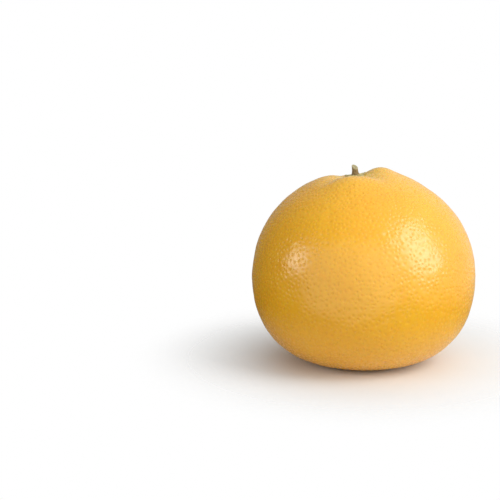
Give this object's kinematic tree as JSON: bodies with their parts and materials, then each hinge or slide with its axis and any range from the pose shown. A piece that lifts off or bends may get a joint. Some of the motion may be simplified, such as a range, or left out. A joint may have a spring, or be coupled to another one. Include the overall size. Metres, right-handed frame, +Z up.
{
  "type": "grapefruit",
  "caption": "Whole ripe grapefruit, slightly flattened and broad at the base, with its star-shaped calyx and a short cut stem in a shallow basin.",
  "frame": {"origin": "centre of the flat spot that the fruit rests on, at the height of the surface under it", "axes": "+Z straight up towards the stem end, +X to the right and +Y to the back of the fruit; the stem leans a few degrees towards -X"},
  "size_m": [0.112, 0.112, 0.0996],
  "materials": {
    "peel": "golden yellow citrus peel, waxy satin with fine oil-gland pits",
    "calyx": "dry grey-green plant tissue",
    "stem": "dry woody stem, fibrous where it was cut"
  },
  "bodies": {
    "root": {"fruit": "peel", "calyx": "calyx", "stem": "stem"}
  },
  "joints": []
}
